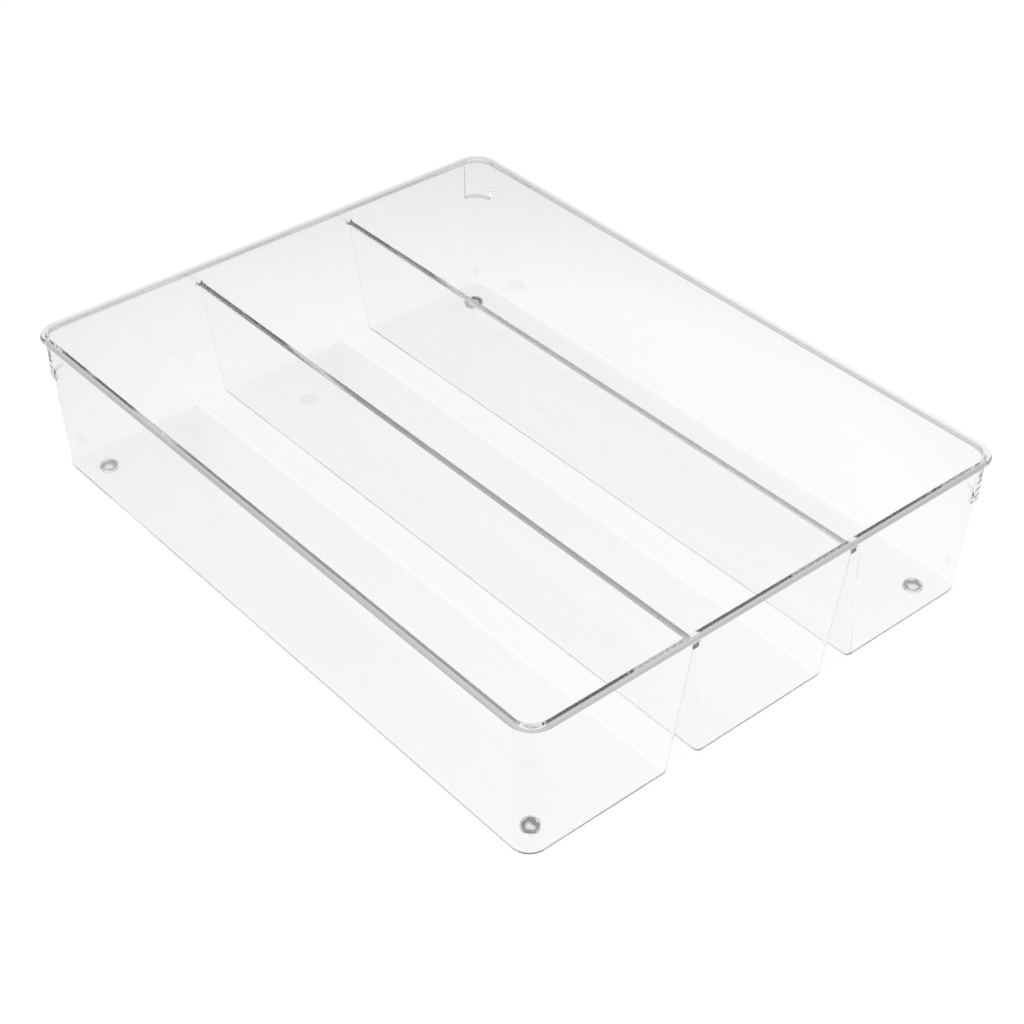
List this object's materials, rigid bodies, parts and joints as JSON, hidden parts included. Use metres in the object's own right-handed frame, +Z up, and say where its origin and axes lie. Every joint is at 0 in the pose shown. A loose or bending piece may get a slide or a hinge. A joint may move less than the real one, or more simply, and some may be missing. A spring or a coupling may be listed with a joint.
{
  "type": "drawer organizer",
  "caption": "Clear moulded drawer organizer: a flanged tray with long drafted troughs divided by low hollow ridges, standing on small clear bumper feet.",
  "frame": {"origin": "centre of the footprint, on the surface that the feet stand on", "axes": "+X across the troughs, +Y along them, +Z up"},
  "size_m": [0.274, 0.354, 0.0793],
  "materials": {
    "clear_polystyrene": "polished clear",
    "clear_polyurethane": "clear, slightly soft",
    "acrylic_adhesive": "clear adhesive film"
  },
  "bodies": {
    "root": {"tray": "clear_polystyrene", "foot_front_left": "clear_polyurethane", "foot_front_right": "clear_polyurethane", "foot_back_left": "clear_polyurethane", "foot_back_right": "clear_polyurethane", "adhesive_front_left": "acrylic_adhesive", "adhesive_front_right": "acrylic_adhesive", "adhesive_back_left": "acrylic_adhesive", "adhesive_back_right": "acrylic_adhesive"}
  },
  "joints": []
}
